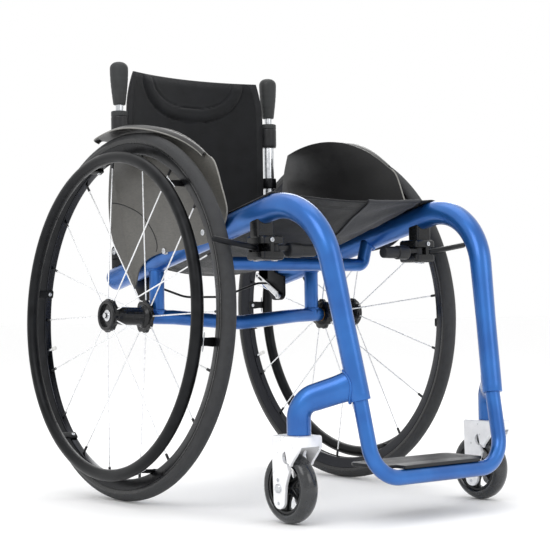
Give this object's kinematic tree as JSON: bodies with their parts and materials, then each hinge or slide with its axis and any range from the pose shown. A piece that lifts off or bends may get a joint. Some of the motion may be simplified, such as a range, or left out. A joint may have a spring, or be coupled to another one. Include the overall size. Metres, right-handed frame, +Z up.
{
  "type": "active wheelchair",
  "caption": "Rigid-frame active wheelchair: cambered spoked wheels with handrims, casters, seat sling, fold-forward backrest, side guards, brakes and a tubular footrest.",
  "frame": {"origin": "on the floor, at the middle of the chair's length and width", "axes": "-Y towards the front of the chair, +X to the sitter's left, +Z up"},
  "size_m": [0.5496, 0.7938, 0.73],
  "materials": {
    "frame_blue": "satin metallic blue powder coat",
    "black_anodised": "black anodised, satin",
    "black_plastic": "moulded, fine texture",
    "bearing_steel": "ground",
    "stainless_steel": "polished",
    "polished_aluminium": "polished",
    "silver_fork": "forged, silver satin",
    "bronze_bush": "turned",
    "tyre_rubber": "slick",
    "caster_rubber": "glossy solid polyurethane",
    "grip_rubber": "matte",
    "seat_nylon": "coated nylon with a low sheen",
    "back_cloth": "woven spacer cloth",
    "flap_grey": "coated nylon",
    "guard_grey": "semi-gloss composite"
  },
  "bodies": {
    "frame": {"side_tube_left": "frame_blue", "side_tube_right": "frame_blue", "caster_arm_left": "frame_blue", "caster_arm_right": "frame_blue", "axle_tube": "frame_blue", "axle_strut_left": "frame_blue", "axle_strut_right": "frame_blue", "cross_tube": "frame_blue", "footrest_tube": "frame_blue", "rail_end_cap_left": "black_plastic", "rail_end_cap_right": "black_plastic", "footplate": "black_plastic", "stem_bearing_left": "bearing_steel", "stem_bearing_right": "bearing_steel", "quick_release_axle_left": "stainless_steel", "quick_release_axle_right": "stainless_steel", "axle_sleeve_left": "bronze_bush", "axle_sleeve_right": "bronze_bush", "seat_sling": "seat_nylon", "seat_flap": "flap_grey", "backrest_bracket_left": "black_anodised", "backrest_bracket_right": "black_anodised", "side_guard_left": "guard_grey", "side_guard_right": "guard_grey", "brake_body_left": "black_anodised", "brake_body_right": "black_anodised"},
    "wheel_left": {"tyre_left": "tyre_rubber", "rim_left": "black_anodised", "handrim_left": "black_anodised", "hub_and_spokes_left": "black_anodised", "hub_bearing_left": "bearing_steel"},
    "wheel_right": {"tyre_right": "tyre_rubber", "rim_right": "black_anodised", "handrim_right": "black_anodised", "hub_and_spokes_right": "black_anodised", "hub_bearing_right": "bearing_steel"},
    "caster_swivel_left": {"caster_fork_left": "silver_fork", "caster_axle_left": "stainless_steel"},
    "caster_swivel_right": {"caster_fork_right": "silver_fork", "caster_axle_right": "stainless_steel"},
    "caster_wheel_left": {"caster_tyre_left": "caster_rubber", "caster_hub_left": "black_plastic"},
    "caster_wheel_right": {"caster_tyre_right": "caster_rubber", "caster_hub_right": "black_plastic"},
    "backrest": {"backrest_upholstery": "back_cloth", "backrest_post_left": "stainless_steel", "backrest_post_right": "stainless_steel", "handle_clamp_left": "black_plastic", "handle_clamp_right": "black_plastic"},
    "handle_left": {"push_handle_left": "grip_rubber"},
    "handle_right": {"push_handle_right": "grip_rubber"},
    "bail": {"release_bail": "black_anodised"},
    "lever_left": {"brake_lever_left": "black_plastic"},
    "lever_right": {"brake_lever_right": "black_plastic"},
    "pusher_left": {"brake_pusher_left": "black_anodised"},
    "pusher_right": {"brake_pusher_right": "black_anodised"},
    "button_left": {"release_button_left": "polished_aluminium"},
    "button_right": {"release_button_right": "polished_aluminium"}
  },
  "joints": [
    {"name": "wheel_spin_left", "type": "hinge", "parent": "frame", "child": "wheel_left", "pos_m": [0.2228, 0.102, 0.29483], "axis": [0.9994, 0, 0.0349], "continuous": true},
    {"name": "wheel_spin_right", "type": "hinge", "parent": "frame", "child": "wheel_right", "pos_m": [-0.2228, 0.102, 0.29483], "axis": [0.9994, 0, -0.0349], "continuous": true},
    {"name": "caster_swivel_left", "type": "hinge", "parent": "frame", "child": "caster_swivel_left", "pos_m": [0.19, -0.3, 0.125], "axis": [0, 0, 1], "continuous": true},
    {"name": "caster_swivel_right", "type": "hinge", "parent": "frame", "child": "caster_swivel_right", "pos_m": [-0.19, -0.3, 0.125], "axis": [0, 0, 1], "continuous": true},
    {"name": "caster_spin_left", "type": "hinge", "parent": "caster_swivel_left", "child": "caster_wheel_left", "pos_m": [0.19, -0.279, 0.0508], "axis": [1, 0, 0], "continuous": true},
    {"name": "caster_spin_right", "type": "hinge", "parent": "caster_swivel_right", "child": "caster_wheel_right", "pos_m": [-0.19, -0.279, 0.0508], "axis": [1, 0, 0], "continuous": true},
    {"name": "backrest_fold", "type": "hinge", "parent": "frame", "child": "backrest", "pos_m": [0, 0.217, 0.405], "axis": [1, 0, 0], "range_deg": [0, 72]},
    {"name": "handle_slide_left", "type": "slide", "parent": "backrest", "child": "handle_left", "axis": [0, 0, 1], "range_m": [0, 0.07]},
    {"name": "handle_slide_right", "type": "slide", "parent": "backrest", "child": "handle_right", "axis": [0, 0, 1], "range_m": [0, 0.07]},
    {"name": "backrest_release", "type": "hinge", "parent": "frame", "child": "bail", "pos_m": [0, 0.164, 0.328], "axis": [1, 0, 0], "range_deg": [0, 15]},
    {"name": "brake_lever_left", "type": "hinge", "parent": "frame", "child": "lever_left", "pos_m": [0.1455, -0.1925, 0.392], "axis": [0, 0, 1], "range_deg": [0, 80]},
    {"name": "brake_lever_right", "type": "hinge", "parent": "frame", "child": "lever_right", "pos_m": [-0.1455, -0.1925, 0.392], "axis": [0, 0, -1], "range_deg": [0, 80]},
    {"name": "brake_pusher_left", "type": "hinge", "parent": "frame", "child": "pusher_left", "pos_m": [0.1675, -0.177, 0.392], "axis": [0, 0, 1], "range_deg": [0, 9.5]},
    {"name": "brake_pusher_right", "type": "hinge", "parent": "frame", "child": "pusher_right", "pos_m": [-0.1675, -0.177, 0.392], "axis": [0, 0, -1], "range_deg": [0, 9.5]},
    {"name": "button_push_left", "type": "slide", "parent": "frame", "child": "button_left", "axis": [-0.9994, 0, -0.0349], "range_m": [0, 0.004], "stiffness_N_per_m": 300, "springref_m": -0.003},
    {"name": "button_push_right", "type": "slide", "parent": "frame", "child": "button_right", "axis": [0.9994, 0, -0.0349], "range_m": [0, 0.004], "stiffness_N_per_m": 300, "springref_m": -0.003}
  ],
  "couplings": [
    {"joint": "brake_pusher_left", "follows": "brake_lever_left", "ratio": 0.11875},
    {"joint": "brake_pusher_right", "follows": "brake_lever_right", "ratio": 0.11875}
  ]
}
